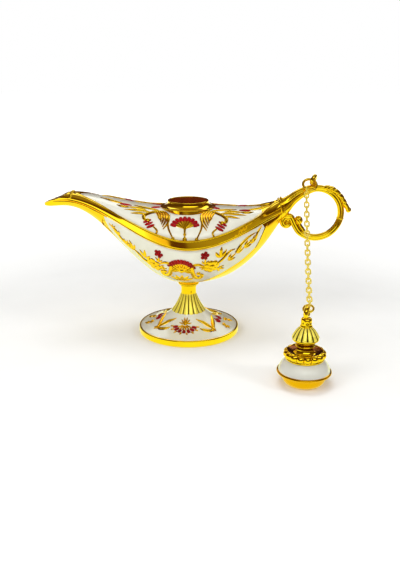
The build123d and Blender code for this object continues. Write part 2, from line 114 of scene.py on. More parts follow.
def grid(rows, columns, pointAt, closed=False):
    span = columns if closed else columns - 1
    points = [pointAt(r / (rows - 1), c / span) for r in range(rows) for c in range(columns)]
    faces = []
    for r in range(rows - 1):
        for c in range(span):
            d = (c + 1) % columns
            faces.append((r * columns + c, r * columns + d, (r + 1) * columns + d, (r + 1) * columns + c))
    return points, faces


def capped(shape, columns):
    points, faces = shape
    return points, faces + [tuple(range(columns)), tuple(range(len(points) - columns, len(points)))]


def join(shapes):
    points, faces = [], []
    for somePoints, someFaces in shapes:
        base = len(points)
        points += somePoints
        faces += [tuple(base + i for i in face) for face in someFaces]
    return points, faces


def addObject(name, data):
    thing = bpy.data.objects.new(name, data)
    bpy.context.scene.collection.objects.link(thing)
    return thing


def dress(mesh, material, sharp):
    mesh.materials.clear()
    mesh.materials.append(material)
    mesh.shade_smooth()
    mesh.set_sharp_from_angle(angle=radians(sharp))


def addPiece(name, shape, material, body="lamp", sharp=35):
    points, faces = shape
    mesh = bpy.data.meshes.new(name)
    mesh.from_pydata([Vector(p) * mm for p in points], [], faces)
    work = bmesh.new()
    work.from_mesh(mesh)
    bmesh.ops.remove_doubles(work, verts=work.verts, dist=weld * mm)
    bmesh.ops.recalc_face_normals(work, faces=work.faces)
    work.to_mesh(mesh)
    work.free()
    dress(mesh, material, sharp)
    piece = addObject(name, mesh)
    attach(piece, body)
    return piece


# How deep in a groove each point of a fluted piece lies, for the painted shade in its grooves
def markGrooves(piece, flutes, low, high):
    points = [vertex.co for vertex in piece.data.vertices]
    middle = sum(points, Vector()) / len(points)
    marks = piece.data.attributes.new("groove", "FLOAT", "POINT")
    for point, mark in zip(points, marks.data):
        turn = atan2(point.y - middle.y, point.x - middle.x)
        mark.value = 1 - smooth(abs(cos(flutes * turn / 2)), low, high)
    return piece


def lathe(profile, segments=120, ripple=None, at=(0, 0)):
    def pointAt(v, u):
        radius, height = profile[round(v * (len(profile) - 1))]
        turn = 2 * pi * u
        if ripple:
            radius += ripple(v, turn)
        return at[0] + radius * cos(turn), at[1] + radius * sin(turn), height
    return grid(len(profile), segments, pointAt, closed=True)


# Lobes round a turned piece, with their depth at its start and end, and the shares where they fade in and out
def lobed(lobes, bend, middle, depths, fadeIn=(-1, 0), fadeOut=(1, 2)):
    def ripple(v, turn):
        lobe = abs(cos(lobes * turn / 2)) ** bend - middle
        return mix(*depths, v) * lobe * smooth(v, *fadeIn) * (1 - smooth(v, *fadeOut))
    return ripple


def sweep(path, sectionAt, columns, side=Vector((0, 1, 0))):
    rows = []
    count = len(path)
    for i, spot in enumerate(path):
        ahead = (path[min(i + 1, count - 1)] - path[max(i - 1, 0)]).normalized()
        out = side.cross(ahead).normalized()
        across = ahead.cross(out).normalized()
        rows.append((spot, out, across))

    def pointAt(v, u):
        spot, out, across = rows[round(v * (count - 1))]
        outward, sideways = sectionAt(v, 2 * pi * u)
        return spot + out * outward + across * sideways
    return capped(grid(count, columns, pointAt, closed=True), columns)


def roundSection(radius):
    def section(v, turn):
        return radius * cos(turn), radius * sin(turn)
    return section


def ball(at, radius, squash=1.0, rows=12, columns=20):
    def pointAt(v, u):
        turn, rise = 2 * pi * u, pi * (v - 0.5)
        flat, up = radius * cos(rise), radius * sin(rise)
        return Vector(at) + Vector((flat * cos(turn), flat * squash * sin(turn), up))
    return grid(rows, columns, pointAt, closed=True)


def torus(at, axis, radius, wire, rows=48, columns=20):
    axis = Vector(axis).normalized()
    along = axis.orthogonal().normalized()
    other = axis.cross(along)

    def pointAt(v, u):
        turn, roll = 2 * pi * v, 2 * pi * u
        out = along * cos(turn) + other * sin(turn)
        return Vector(at) + out * (radius + wire * cos(roll)) + axis * wire * sin(roll)
    return grid(rows + 1, columns, pointAt, closed=True)


# Materials

# Noise stays mostly between these values
noiseLow, noiseHigh = 0.3, 0.7


def newMaterial(name, **values):
    material = bpy.data.materials.new(name)
    material.use_nodes = True
    shader = material.node_tree.nodes["Principled BSDF"]
    for socket, value in values.items():
        shader.inputs[socket.replace("_", " ")].default_value = value
    return material, material.node_tree, shader


# A node with its settings, and inputs that are values or other nodes' outputs
def addNode(tree, kind, inputs=None, **settings):
    node = tree.nodes.new("ShaderNode" + kind)
    for key, value in settings.items():
        setattr(node, key, value)
    for socket, source in (inputs or {}).items():
        if isinstance(source, bpy.types.NodeSocket):
            tree.links.new(source, node.inputs[socket])
        else:
            node.inputs[socket].default_value = source
    return node


def noiseOf(tree, scale, detail=4.0):
    place = addNode(tree, "TexCoord").outputs["Object"]
    return addNode(tree, "TexNoise", {"Vector": place, "Scale": scale, "Detail": detail}).outputs["Fac"]


def ramp(tree, source, stops):
    node = addNode(tree, "ValToRGB", {"Fac": source})
    while len(node.color_ramp.elements) < len(stops):
        node.color_ramp.elements.new(0.5)
    for element, (position, colour) in zip(node.color_ramp.elements, stops):
        element.position = position
        element.color = (*colour, 1)
    return node.outputs["Color"]


def clouded(tree, scale, deep, light):
    return ramp(tree, noiseOf(tree, scale), [(noiseLow, deep), (noiseHigh, light)])


def mapped(tree, source, low, high, first=0.0, last=1.0, kind="LINEAR"):
    inputs = {"Value": source, "From Min": low, "From Max": high, "To Min": first, "To Max": last}
    return addNode(tree, "MapRange", inputs, interpolation_type=kind).outputs["Result"]


def smoothed(tree, source, low, high):
    return mapped(tree, source, low, high, kind="SMOOTHSTEP")


def blended(tree, share, first, second):
    inputs = {"Factor": share, "A": first, "B": (*second, 1)}
    return addNode(tree, "Mix", inputs, data_type="RGBA").outputs["Result"]


def chosen(tree, share, first, second):
    return addNode(tree, "MixShader", {"Fac": share, 1: first, 2: second}).outputs["Shader"]


def polish(tree, shader, s, rough, ripple):
    low, high = (rough * part for part in s.wear)
    wear = mapped(tree, noiseOf(tree, *s.smear), noiseLow, noiseHigh, low, high)
    tree.links.new(wear, shader.inputs["Roughness"])
    inputs = {"Strength": ripple, "Distance": s.depth * mm, "Height": noiseOf(tree, *s.waves)}
    bump = addNode(tree, "Bump", inputs)
    tree.links.new(bump.outputs["Normal"], shader.inputs["Normal"])


metalSet = Settings(
    clouds=60, smear=(240, 6), wear=(0.7, 1.5), waves=(130, 2), depth=0.4, hollow=(0.48, 0.43))


def metalMaterial(name, light, deep, rough, ripple, dark=0.28, metal=1.0, marked=False):
    material, tree, shader = newMaterial(name, Metallic=metal)
    tint = clouded(tree, metalSet.clouds, deep, light)
    # Painted shade: the base colour darkens in grooves and hollows, by the groove mark or by how concave the
    # surface is
    if marked:
        hollow = addNode(tree, "Attribute", attribute_name="groove").outputs["Fac"]
    else:
        point = addNode(tree, "NewGeometry").outputs["Pointiness"]
        hollow = smoothed(tree, point, *metalSet.hollow)
    grooveShade = [dark * part for part in deep]
    tree.links.new(blended(tree, hollow, tint, grooveShade), shader.inputs["Base Color"])
    polish(tree, shader, metalSet, rough, ripple)
    return material


enamelSet = Settings(
    clouds=90, smear=(300, 5), wear=(0.8, 1.3), waves=(160, 2), depth=0.4, glaze=0.04, ior=1.5, shine=0.5)


def enamelMaterial(name, light, deep, rough, ripple, coat=0.8):
    s = enamelSet
    material, tree, shader = newMaterial(name, Coat_Weight=coat, Coat_Roughness=s.glaze, IOR=s.ior,
                                         Specular_IOR_Level=s.shine * coat)
    tree.links.new(clouded(tree, s.clouds, deep, light), shader.inputs["Base Color"])
    polish(tree, shader, s, rough, ripple)
    return material


gold = metalMaterial("polishedGold", (1.0, 0.70, 0.022), (0.95, 0.61, 0.016), rough=0.06, ripple=0.03)
castGold = metalMaterial("castGold", (1.0, 0.68, 0.025), (0.86, 0.50, 0.014), rough=0.13, ripple=0.18)
# Dark red-brown gold inside the neck: painted shade and painted reflection
throatShadeGold = metalMaterial("throatShadeGold", (0.72, 0.17, 0.03), (0.52, 0.09, 0.015), rough=0.16, ripple=0.15,
                          dark=1, metal=0.75)
# Dark maroon gold in the saucer's well: a painted dark reflection
wellShadeGold = metalMaterial("wellShadeGold", (0.24, 0.07, 0.012), (0.17, 0.045, 0.008), rough=0.12, ripple=0.05,
                         dark=1)
chainGold = metalMaterial("chainGold", (1.0, 0.82, 0.16), (0.95, 0.72, 0.10), rough=0.25, ripple=0.05,
                          dark=0.8, metal=0.5)
# A paler, partly matte copy of the gold, a painted highlight on the flutes and bulb, with nearly black
# painted shade in the grooves
fluteHighlightGold = metalMaterial("fluteHighlightGold", (1.0, 0.85, 0.12), (0.98, 0.78, 0.08), rough=0.15, ripple=0.05,
                          dark=0.04, metal=0.3, marked=True)
ringGold = metalMaterial("ringGold", (1.0, 0.74, 0.06), (0.95, 0.64, 0.03), rough=0.12, ripple=0.05, dark=0.8)
# Darker, redder gold on the lid's plug: painted shade, for the shadowed floor it mirrors
plugShadeGold = metalMaterial("plugShadeGold", (0.84, 0.46, 0.006), (0.74, 0.37, 0.004), rough=0.12, ripple=0.05)
steel = metalMaterial("plainSteel", (0.62, 0.62, 0.62), (0.50, 0.50, 0.50), rough=0.3, ripple=0.2)
enamel = enamelMaterial("whiteEnamel", (0.75, 0.74, 0.65), (0.68, 0.665, 0.57), rough=0.22, ripple=0.10)
pearl = enamelMaterial("pearlEnamel", (0.66, 0.65, 0.59), (0.57, 0.57, 0.50), rough=0.18, ripple=0.06)
ruby = enamelMaterial("rubyEnamel", (0.36, 0.003, 0.006), (0.17, 0.001, 0.003), rough=0.25, ripple=0.20,
                      coat=0.2)


# The lamp's body: sections across X are two half ellipses that meet at the seam

bodySet = Settings(
    spout=74.8, tail=49.0, beam=54.0, tipWidth=5.0, tailWidth=8.0, seam=54.0, spoutRise=20.1,
    spoutCrest=64.6, tailRise=17.1, tailCrest=68.5, keel=28.4, spoutKeel=40.9, tailKeel=33.0, deck=15.2,
    spoutDeck=1.2, tailDeck=3.6)
# Powers that bend the lines of the body
bendSet = Settings(spout=(1.6, 1.63), tail=(2, 1.2), spoutKeel=1.15, tailKeel=2.5, deck=1.9, tailDeck=6)
mouthSet = Settings(lipX=-60.0, lipZ=76.6, slope=20.5)
# Small steps, in millimetres and degrees, that give the slope of the body
nudgeX, nudgeAngle = 0.2, 0.5
# Past this angle the body faces straight up or down
steepAngle = 85


def ease(distance, crest):
    return (1 - cos(pi * distance / crest)) / 2


def taper(share, inner, outer):
    return max(1 - share ** inner, 0) ** outer


def halfBeam(x):
    s = bodySet
    if x < 0:
        return mix(s.tipWidth, s.beam, taper(-x / s.spout, *bendSet.spout)) / 2
    return mix(s.tailWidth, s.beam, taper(x / s.tail, *bendSet.tail)) / 2


def seamZ(x):
    s = bodySet
    if x < 0:
        return s.seam + s.spoutRise * ease(-x, s.spoutCrest)
    return s.seam + s.tailRise * ease(x, s.tailCrest)


def keelZ(x):
    s = bodySet
    if x < 0:
        rise = ease(min(-x, s.spoutCrest), s.spoutCrest)
        return s.keel + s.spoutKeel * rise ** bendSet.spoutKeel
    return s.keel + s.tailKeel * (x / s.tail) ** bendSet.tailKeel


def deckHeight(x):
    s = bodySet
    height = mix(s.spoutDeck, s.deck, (2 * halfBeam(x) / s.beam) ** bendSet.deck)
    return height + (s.tailDeck * (x / s.tail) ** bendSet.tailDeck if x > 0 else 0)


def mouthZ(x):
    return mouthSet.lipZ + (x - mouthSet.lipX) * tan(radians(mouthSet.slope))


# A place on the body is (x, angle): -90 is the keel, 0 the seam and 90 the crown, on the side given
def bodyPoint(x, angle, grow=0.0, side=-1):
    turn = radians(angle)
    height = deckHeight(x) if angle > 0 else seamZ(x) - keelZ(x)
    wide = (halfBeam(x) + grow) * cos(turn)
    return Vector((x, side * wide, seamZ(x) + (height + grow) * sin(turn)))


def bodyFrame(place, side):
    x, angle = place
    spot = bodyPoint(x, angle, 0, side)
    forward = bodyPoint(x + nudgeX, angle, 0, side) - bodyPoint(x - nudgeX, angle, 0, side)
    upward = bodyPoint(x, angle + nudgeAngle, 0, side) - bodyPoint(x, angle - nudgeAngle, 0, side)
    out = forward.cross(upward).normalized()
    return spot, out if out.y * side > 0 or abs(angle) > steepAngle else -out


def bodyStep(place, right, rise):
    x, angle = place
    nudge = bodyPoint(x, angle + nudgeAngle) - bodyPoint(x, angle - nudgeAngle)
    return x + right, angle + rise * 2 * nudgeAngle / nudge.length


def angleAt(x, z):
    height = deckHeight(x) if z > seamZ(x) else seamZ(x) - keelZ(x)
    return degrees(asin(min(max((z - seamZ(x)) / height, -1), 1)))


# White panels, slightly crowned, in the hull and on the deck

panelSet = Settings(
    front=-42.8, slant=5.5, slantBend=1.6, rear=40.0, keelGap=1.2, tailGap=5.4, tailFrom=(0, 24),
    tipGap=6.6, tipFrom=(34.5, 41.5), least=0.05, band=4.2, crown=0.12, sink=0.16, edge=0.07,
    deckFront=-56.0, deckRear=38.0, deckHole=12.4, hullGrid=(44, 140), deckGrid=(81, 150))


def pillow(u, v):
    s = panelSet
    near = min(2 * u / s.edge, 2 * (1 - u) / s.edge, v / s.edge, (1 - v) / s.edge, 1)
    return mix(-s.sink, s.crown, smooth(near, 0, 1))


def panelLow(x):
    s = panelSet
    gap = s.keelGap + s.tailGap * smooth(x, *s.tailFrom) + s.tipGap * smooth(x, *s.tipFrom)
    return min(keelZ(x) + gap, seamZ(x) - s.band / 2 - s.least)


def hullPanel(side):
    s = panelSet

    def pointAt(v, u):
        x = mix(s.front + s.slant * v ** s.slantBend, s.rear, u)
        first, last = angleAt(x, seamZ(x) - s.band / 2), angleAt(x, panelLow(x))
        return bodyPoint(x, mix(first, last, v), pillow(u, v), side)
    return grid(*s.hullGrid, pointAt)


def deckPanel():
    s = panelSet

    def pointAt(v, u):
        x = mix(s.deckFront, s.deckRear, u)
        low = angleAt(x, seamZ(x) + s.band / 2)
        return bodyPoint(x, mix(low, 90, 1 - abs(2 * v - 1)), pillow(u, v), -1 if v < 0.5 else 1)
    points, faces = grid(*s.deckGrid, pointAt)
    keep = [f for f in faces if min(hypot(points[i].x, points[i].y) for i in f) > s.deckHole]
    return points, keep


# The gold keel between the hull's panels, with a low lip along its edges
keelSet = Settings(
    front=-47.0, rear=43.0, cover=0.15, proud=0.03, lip=0.16, lipFrom=(0.75, 0.95), tuck=0.5,
    tuckFrom=(0.95, 1), endDrop=0.4, endFrom=(0, 0.04), grid=(41, 130))


def keelPiece():
    s = keelSet

    def pointAt(v, u):
        x, away = mix(s.front, s.rear, u), abs(2 * v - 1)
        edge = -90 - angleAt(x, panelLow(x) + s.cover)
        lip = s.lip * smooth(away, *s.lipFrom) - s.tuck * smooth(away, *s.tuckFrom)
        ends = s.endDrop * (1 - smooth(min(u, 1 - u), *s.endFrom))
        return bodyPoint(x, -90 - edge * away, s.proud + lip - ends, -1 if v < 0.5 else 1)
    return grid(*s.grid, pointAt)


hullWhite = addPiece("hullEnamelPanels", join([hullPanel(-1), hullPanel(1)]), enamel)
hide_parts("hull_enamel")
deckWhite = addPiece("deckEnamelPanel", deckPanel(), enamel)
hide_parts("deck_enamel")
addPiece("keelStrip", keelPiece(), gold)


# Band over the seam: a flat upright strip with a groove near each edge, cut off by the mouth

bandSet = Settings(
    below=2.2, spoutBelow=0.9, belowFrom=(-56, -20), above=3.0, spoutAbove=2.2, aboveFrom=(-40, -15),
    tailRise=1.4, tailFrom=(30, 49), tipGap=2.2, least=0.05, proud=0.95, tuck=0.3, edge=0.05, groove=0.3,
    grooves=(0.13, 0.92), grooveWidth=0.045, uprightFrom=(-44, -28), uprightTo=(36, 47), rows=40,
    columns=190)


def bandLow(x):
    s = bandSet
    return seamZ(x) - mix(s.spoutBelow, s.below, smooth(x, *s.belowFrom))


def bandTop(x):
    s = bandSet
    above = mix(s.spoutAbove, s.above, smooth(x, *s.aboveFrom))
    above += s.tailRise * smooth(x, *s.tailFrom)
    return min(seamZ(x) + above, max(mouthZ(x), bandLow(x) + s.least))


def bandSide(side):
    s = bandSet

    def pointAt(v, u):
        x = mix(s.tipGap - bodySet.spout, bodySet.tail, u)
        low, high = bandLow(x), bandTop(x)
        if v in (0, 1):
            return bodyPoint(x, angleAt(x, mix(low, high, v)), -s.tuck, side)
        share = (v * s.rows - 1) / (s.rows - 2)
        z = mix(low, high, share)
        grow = s.proud - s.tuck * (1 - smooth(min(share, 1 - share), 0, s.edge))
        grow -= s.groove * sum(exp(-((share - at) / s.grooveWidth) ** 2) for at in s.grooves)
        curved = bodyPoint(x, angleAt(x, z), grow, side)
        upright = Vector((x, side * (halfBeam(x) + grow), z))
        return curved.lerp(upright, smooth(x, *s.uprightFrom) * (1 - smooth(x, *s.uprightTo)))
    return grid(s.rows + 1, s.columns, pointAt)


band = addPiece("girdleBand", join([bandSide(-1), bandSide(1)]), gold)
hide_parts("girdle_band")


# Raised ornament: strokes and beads with a rounded back that follow the surface they lie on.
# A surface is a function for a place's spot and normal, one for a step from a place, and a side.

strokeSet = Settings(
    profile=(-1, -0.82, -0.45, 0, 0.45, 0.82, 1), least=0.15, lift=(0.4, 0.7), sink=0.1)


def stroke(on, path, widths, height, count=18):
    s = strokeSet
    spots = [on.frameAt((p.x, p.y), on.side) for p in spline([(*p, 0) for p in path], count)]
    first, middle, last = widths
    columns = len(s.profile)

    def pointAt(v, u):
        i, p = round(v * (count - 1)), s.profile[round(u * (columns - 1))]
        spot, out = spots[i]
        ahead = (spots[min(i + 1, count - 1)][0] - spots[max(i - 1, 0)][0]).normalized()
        across = out.cross(ahead).normalized()
        wide = first * (1 - v) * (1 - 2 * v) + 4 * middle * v * (1 - v) + last * v * (2 * v - 1)
        wide = max(wide, s.least)
        lift = height * min(1, s.lift[0] + wide / max(widths) * s.lift[1])
        return spot + across * wide / 2 * p + out * (lift * sqrt(1 - p * p) - s.sink)
    return capped(grid(count, columns, pointAt), columns)


def bead(on, place, radius, height, rows=6, columns=14):
    spot, out = on.frameAt(place, on.side)
    along = out.orthogonal().normalized()
    other = out.cross(along)

    def pointAt(v, u):
        rise, turn = pi / 2 * v, 2 * pi * u
        flat = along * cos(turn) + other * sin(turn)
        return spot + flat * radius * cos(rise) + out * (height * sin(rise) - strokeSet.sink)
    return grid(rows, columns, pointAt, closed=True)


def turned(on, centre, radius, angle):
    turn = radians(angle)
    return on.stepAt(centre, radius * cos(turn), radius * sin(turn))


def rays(on, centre, reach, turns, count, widths, height):
    shapes = []
    for i in range(count):
        angle = mix(*turns, i / (count - 1))
        path = [turned(on, centre, mix(*reach, k / 2), angle) for k in range(3)]
        shapes.append(stroke(on, path, widths, height, 9))
    return shapes


# A sprig's three leaves, each with its turn from the sprig's heading, its length and its width
sprigSet = Settings(
    leaves=((-52, 0.8, 0.34), (0, 1.0, 0.36), (52, 0.8, 0.34)), curl=0.3, root=0.5, tip=0.2, height=0.7)


def sprig(on, at, heading, size):
    s = sprigSet
    shapes = []
    for turn, long, wide in s.leaves:
        path = []
        for share in (0, 0.5, 1):
            path.append(turned(on, at, size * long * share, heading + turn * (1 - s.curl * share)))
        shapes.append(stroke(on, path, (s.root, size * wide, s.tip), s.height, 10))
    return shapes


rosetteSet = Settings(reach=0.62, petal=0.42, heart=0.45, rise=1.35)


def rosette(on, at, size, petals, height):
    s = rosetteSet
    shapes = []
    for i in range(petals):
        place = turned(on, at, size * s.reach, 360 * i / petals)
        shapes.append(bead(on, place, size * s.petal, height))
    return shapes + [bead(on, at, size * s.heart, height * s.rise)]


# The deck's ornament is the same left and right of its fan. The crown and the shell are what rays takes, in
# its order. A pen is a stroke's widths, height and count of points, or a bead's radius and height.
deckSet = Settings(
    fan=(-1.35, 31), crown=((4.5, 7.4), (160, 20), 9, (1.5, 2.3, 1.9), 0.9),
    shell=((0.6, 4.8), (152, 28), 7, (0.7, 1.3, 1.9), 0.75), stalk=(1, -2.5, -5.5),
    stalkPen=((1.6, 1.1, 0.8), 0.8), stalkBeads=((-3.2, (0.85, 1.0)), (-6.0, (1.15, 1.0))),
    stem=[(-9.5, 58), (-9.9, 45), (-9.5, 30), (-8.3, 20), (-7.2, 12)], stemPen=((1.5, 1.1, 0.8), 0.8, 24),
    stemBead=(0.95, 0.9), plumes=5, plume=[(-11.6, 66), (-9.5, 55), (-10.0, 40), (-12.2, 26)],
    plumeStep=[(-1.3, 0), (-1.3, -0.5), (-1.15, 2.5), (-0.4, 4.5)], plumePen=((0.8, 1.35, 0.5), 0.95, 20),
    scroll=[(-11.8, 66), (-15.8, 64), (-19.4, 57), (-22.0, 47), (-21.7, 38), (-20.0, 37)],
    scrollPen=((1.4, 2.3, 1.1), 1.1, 34), scrollBead=(1.35, 1.2),
    leaves=[[(-18.5, 60), (-23.0, 60), (-28.0, 55), (-32.5, 48)], [(-20.4, 53), (-24.5, 50), (-29.0, 42)],
    [(-15.0, 69), (-21.0, 72), (-28.0, 75)], [(-21.5, 65), (-26.0, 66), (-31.5, 60)],
    [(-30.0, 62), (-33.0, 57), (-36.5, 56)], [(-33.5, 70), (-39.0, 70), (-45.5, 74)]],
    leafPen=((0.9, 2.1, 0.25), 0.85, 22), marks=[[(-35.0, 65), (-32.5, 68), (-29.0, 71)],
    [(-19.0, 77), (-16.5, 80), (-14.2, 83)]], markPen=((0.8, 2.3, 0.6), 0.85, 14), bud=(-19.4, 30),
    budHalf=(1.9, 1.6), budApart=(0.9, -1.2), budPen=((0.9, 1.7, 0.8), 0.9, 12), budStem=[(-17.2, 27),
    (-15.2, 20), (-16.0, 10)], budStemPen=((0.8, 1.2, 0.8), 0.75, 16))


# Strokes left of the fan, in gold and in red
def deckStrokes(on):
    s = deckSet
    golds = [(s.stem, s.stemPen)]
    for k in range(s.plumes):
        plume = [(x + k * dx, angle + k * turn) for (x, angle), (dx, turn) in zip(s.plume, s.plumeStep)]
        golds.append((plume, s.plumePen))
    golds.append((s.scroll, s.scrollPen))
    golds += [(leaf, s.leafPen) for leaf in s.leaves]
    golds.append((s.budStem, s.budStemPen))
    reds = [(mark, s.markPen) for mark in s.marks]
    for k in (-1, 0, 1):
        petal = [on.stepAt(s.bud, *(end * half + k * apart for half, apart in zip(s.budHalf, s.budApart)))
                 for end in (-1, 0, 1)]
        reds.append((petal, s.budPen))
    return golds, reds


def deckOrnament(on):
    s = deckSet
    golds, reds = rays(on, s.fan, *s.shell), rays(on, s.fan, *s.crown)
    golds.append(stroke(on, [on.stepAt(s.fan, 0, rise) for rise in s.stalk], *s.stalkPen))
    golds += [bead(on, on.stepAt(s.fan, 0, rise), *pen) for rise, pen in s.stalkBeads]
    goldStrokes, redStrokes = deckStrokes(on)
    for way in (1, -1):
        def at(place, way=way):
            return s.fan[0] + way * (place[0] - s.fan[0]), place[1]
        golds += [stroke(on, [at(p) for p in path], *pen) for path, pen in goldStrokes]
        reds += [stroke(on, [at(p) for p in path], *pen) for path, pen in redStrokes]
        golds.append(bead(on, at(s.stem[-1]), *s.stemBead))
        golds.append(bead(on, at(s.scroll[-1]), *s.scrollBead))
    return golds, reds


# The hull's ornament: a shell in the middle, and on each side a flower, a cluster and a vine with sprigs
hullSet = Settings(
    fan=(-3.1, -33), fanBead=(1.5, 1.3), foot=(-3.0, -55),
    crown=((5.0, 7.5), (160, 20), 11, (1.3, 1.9, 1.5), 0.95),
    shell=((0.8, 5.2), (195, -15), 13, (0.7, 1.2, 1.5), 0.8),
    footRays=((0.4, 6.4), (152, 28), 5, (1.2, 2.2, 0.7), 0.8), pearls=7, pearlReach=3.1,
    pearlTurns=(190, -10), pearl=(0.55, 1.25), scrollPen=((1.9, 2.6, 1.0), 1.15, 34), scrollBead=(1.2, 1.2),
    flower=(2.3, 5, 1.2), calyxDrop=-5.2, calyx=3.6, rosette=(4.1, 7, 1.0),
    vinePen=((1.4, 1.7, 0.5), 0.85, 26))
hullLeft = Settings(
    scroll=[(-8.4, -27), (-8.7, -37), (-9.7, -46), (-12.0, -49), (-13.2, -44), (-11.5, -41)],
    flower=(-14.5, -17), rosette=(-17.2, -39), calyxTurn=90,
    vines=[[(-8.6, -25), (-11.5, -26), (-14.2, -32)],
    [(-18.5, -42), (-22.7, -42), (-25.0, -38.5), (-28.0, -36)],
    [(-27.5, -38), (-31.0, -40), (-34.0, -37), (-37.0, -29), (-40.0, -23)]],
    sprigs=[((-21.6, -37), 92, 5.6), ((-27.6, -37), 118, 4.6), ((-31.5, -40), 75, 3.6),
    ((-35.0, -34), 128, 3.8), ((-38.0, -27), 60, 2.6), ((-13.8, -36), 8, 3.4)])
hullRight = Settings(
    scroll=[(2.2, -26), (2.5, -36), (3.6, -45), (6.2, -47), (7.2, -42), (5.4, -38)], flower=(8.6, -13),
    rosette=(12.0, -30), calyxTurn=84, vines=[[(2.4, -24), (5.6, -24), (8.6, -28)],
    [(14.8, -28), (17.8, -24), (21.0, -18), (23.8, -18)],
    [(24.2, -24), (27.0, -17), (30.6, -13), (34.4, -13)], [(34.6, -23), (35.6, -15), (37.8, -9)]],
    sprigs=[((16.4, -21), 84, 6.0), ((8.8, -29), 172, 3.2), ((20.5, -30), 30, 4.6), ((25.4, -27), 62, 4.4),
    ((28.8, -25), 26, 4.8), ((33.0, -27), 78, 4.2), ((15.0, -36), 330, 4.2)])


def hullOrnament(on):
    s = hullSet
    golds, reds = rays(on, s.fan, *s.shell), rays(on, s.fan, *s.crown)
    golds += rays(on, s.foot, *s.footRays)
    golds.append(bead(on, s.fan, *s.fanBead))
    for i in range(s.pearls):
        angle = mix(*s.pearlTurns, i / (s.pearls - 1))
        golds.append(bead(on, turned(on, s.fan, s.pearlReach, angle), *s.pearl))
    for half in (hullLeft, hullRight):
        golds.append(stroke(on, half.scroll, *s.scrollPen))
        golds.append(bead(on, half.scroll[-1], *s.scrollBead))
        reds += rosette(on, half.flower, *s.flower)
        golds += sprig(on, on.stepAt(half.flower, 0, s.calyxDrop), half.calyxTurn, s.calyx)
        golds += rosette(on, half.rosette, *s.rosette)
        golds += [stroke(on, vine, *s.vinePen) for vine in half.vines]
        for place, heading, size in half.sprigs:
            golds += sprig(on, place, heading, size)
    return golds, reds


# The spout has a thin ridge below the band on each side, and a scalloped lip over its mouth
spoutSet = Settings(
    ridge=[-70.0, -62.0, -54.0, -47.0, -41.0], below=0.9, pen=((0.5, 1.1, 0.4), 0.7, 40), lipX=-60.3,
    lipTurns=(12, 84), lipProud=0.3, scallops=5, scallop=1.05)


def spoutOrnament(on):
    s = spoutSet
    ridge = [(x, angleAt(x, bandLow(x) - s.below)) for x in s.ridge]
    shapes = [stroke(on, ridge, *s.pen)]
    for i in range(s.scallops):
        angle = mix(*s.lipTurns, i / (s.scallops - 1))
        shapes.append(ball(bodyPoint(s.lipX, angle, s.lipProud, on.side), s.scallop))
    return shapes


golds, reds, ridges = [], [], []
for side in (-1, 1):
    body = Settings(frameAt=bodyFrame, stepAt=bodyStep, side=side)
    for ornament in (deckOrnament, hullOrnament):
        someGolds, someReds = ornament(body)
        golds += someGolds
        reds += someReds
    ridges += spoutOrnament(body)
addPiece("bodyScrolls", join(golds), castGold)
addPiece("bodyFlowers", join(reds), ruby)
addPiece("spoutRidges", join(ridges), gold)
print("body dressed")


# Neck collar, turned

collarSet = Settings(
    bore=10.1, outer=10.8, top=72.3, low=63.8, waist=(11.3, 70.3), flange=14.3, edge=69.3, edgeHeight=0.5,
    skirt=64.5)
rimWall = (collarSet.outer - collarSet.bore) / 2
rimLow = collarSet.top - rimWall


def collarProfile():
    s = collarSet
    flange, edge, (waist, _) = s.flange, s.edge, s.waist
    line = arcs((s.bore, rimLow),
                ((s.bore + rimWall, s.top), (s.outer, rimLow), 9),
                ((s.outer + 0.15, rimLow - 0.8), s.waist, 8),
                ((waist + 0.9, edge + 0.35), (flange, edge), 16),
                ((flange + 0.2, edge - s.edgeHeight / 2), (flange, edge - s.edgeHeight), 6))
    return line + [(flange, s.skirt)]


collar = addPiece("neckCollar", lathe(collarProfile()), gold)
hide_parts("neck_collar")
throat = addPiece("neckThroat", lathe([(collarSet.bore, rimLow), (collarSet.bore, collarSet.low),
                                       (collarSet.outer, collarSet.low)]), throatShadeGold)


# Foot: rim, enamel slope, fluted flare, stem and cup

footSet = Settings(
    radius=27.2, rest=26.4, rim=3.5, rimSide=(0.8, 2.9), shelf=26.3, mid=(17.0, 6.2), flare=(9.1, 11.6),
    flareMid=(6.4, 15.9), stem=(4.1, 21.4), cupLow=26.2, cup=5.3, cupTop=30.6, sides=160, stemSides=96,
    slopeSink=0.25, slopeProud=0.05, flutes=18, fluteSides=14, groove=(0.15, 0.55))
fluteRipple = lobed(footSet.flutes, bend=0.5, middle=0.7, depths=(0.65, 0.4), fadeOut=(0.95, 1))
footSlope = ((footSet.shelf, footSet.rim), footSet.mid, footSet.flare)


def rimProfile():
    s = footSet
    radius, rim, shelf = s.radius, s.rim, s.shelf
    low, high = s.rimSide
    line = [(0.01, 0.0), (s.rest - 0.3, 0.0)]
    line += arc((s.rest, 0.05), (radius - 0.2, 0.25), (radius, low), 6)
    line += arc((radius, high), (radius - 0.14, 3.32), (radius - 0.45, rim), 6)
    return line + [(shelf + 0.1, rim), (shelf, rim - 0.15), (shelf - 0.1, rim - 0.6)]


def slopeProfile():
    s = footSet
    profile = []
    for i, (radius, height) in enumerate(arc(*footSlope, 40)):
        profile.append((radius, height + mix(-s.slopeSink, s.slopeProud, smooth(i, 0, 3))))
    return profile


def fluteProfile():
    s = footSet
    radius, low = s.flare
    line = arc(s.flare, s.flareMid, s.stem, 34)
    return [(radius - 0.6, low - 0.8), (radius - 0.05, low - 0.35)] + line


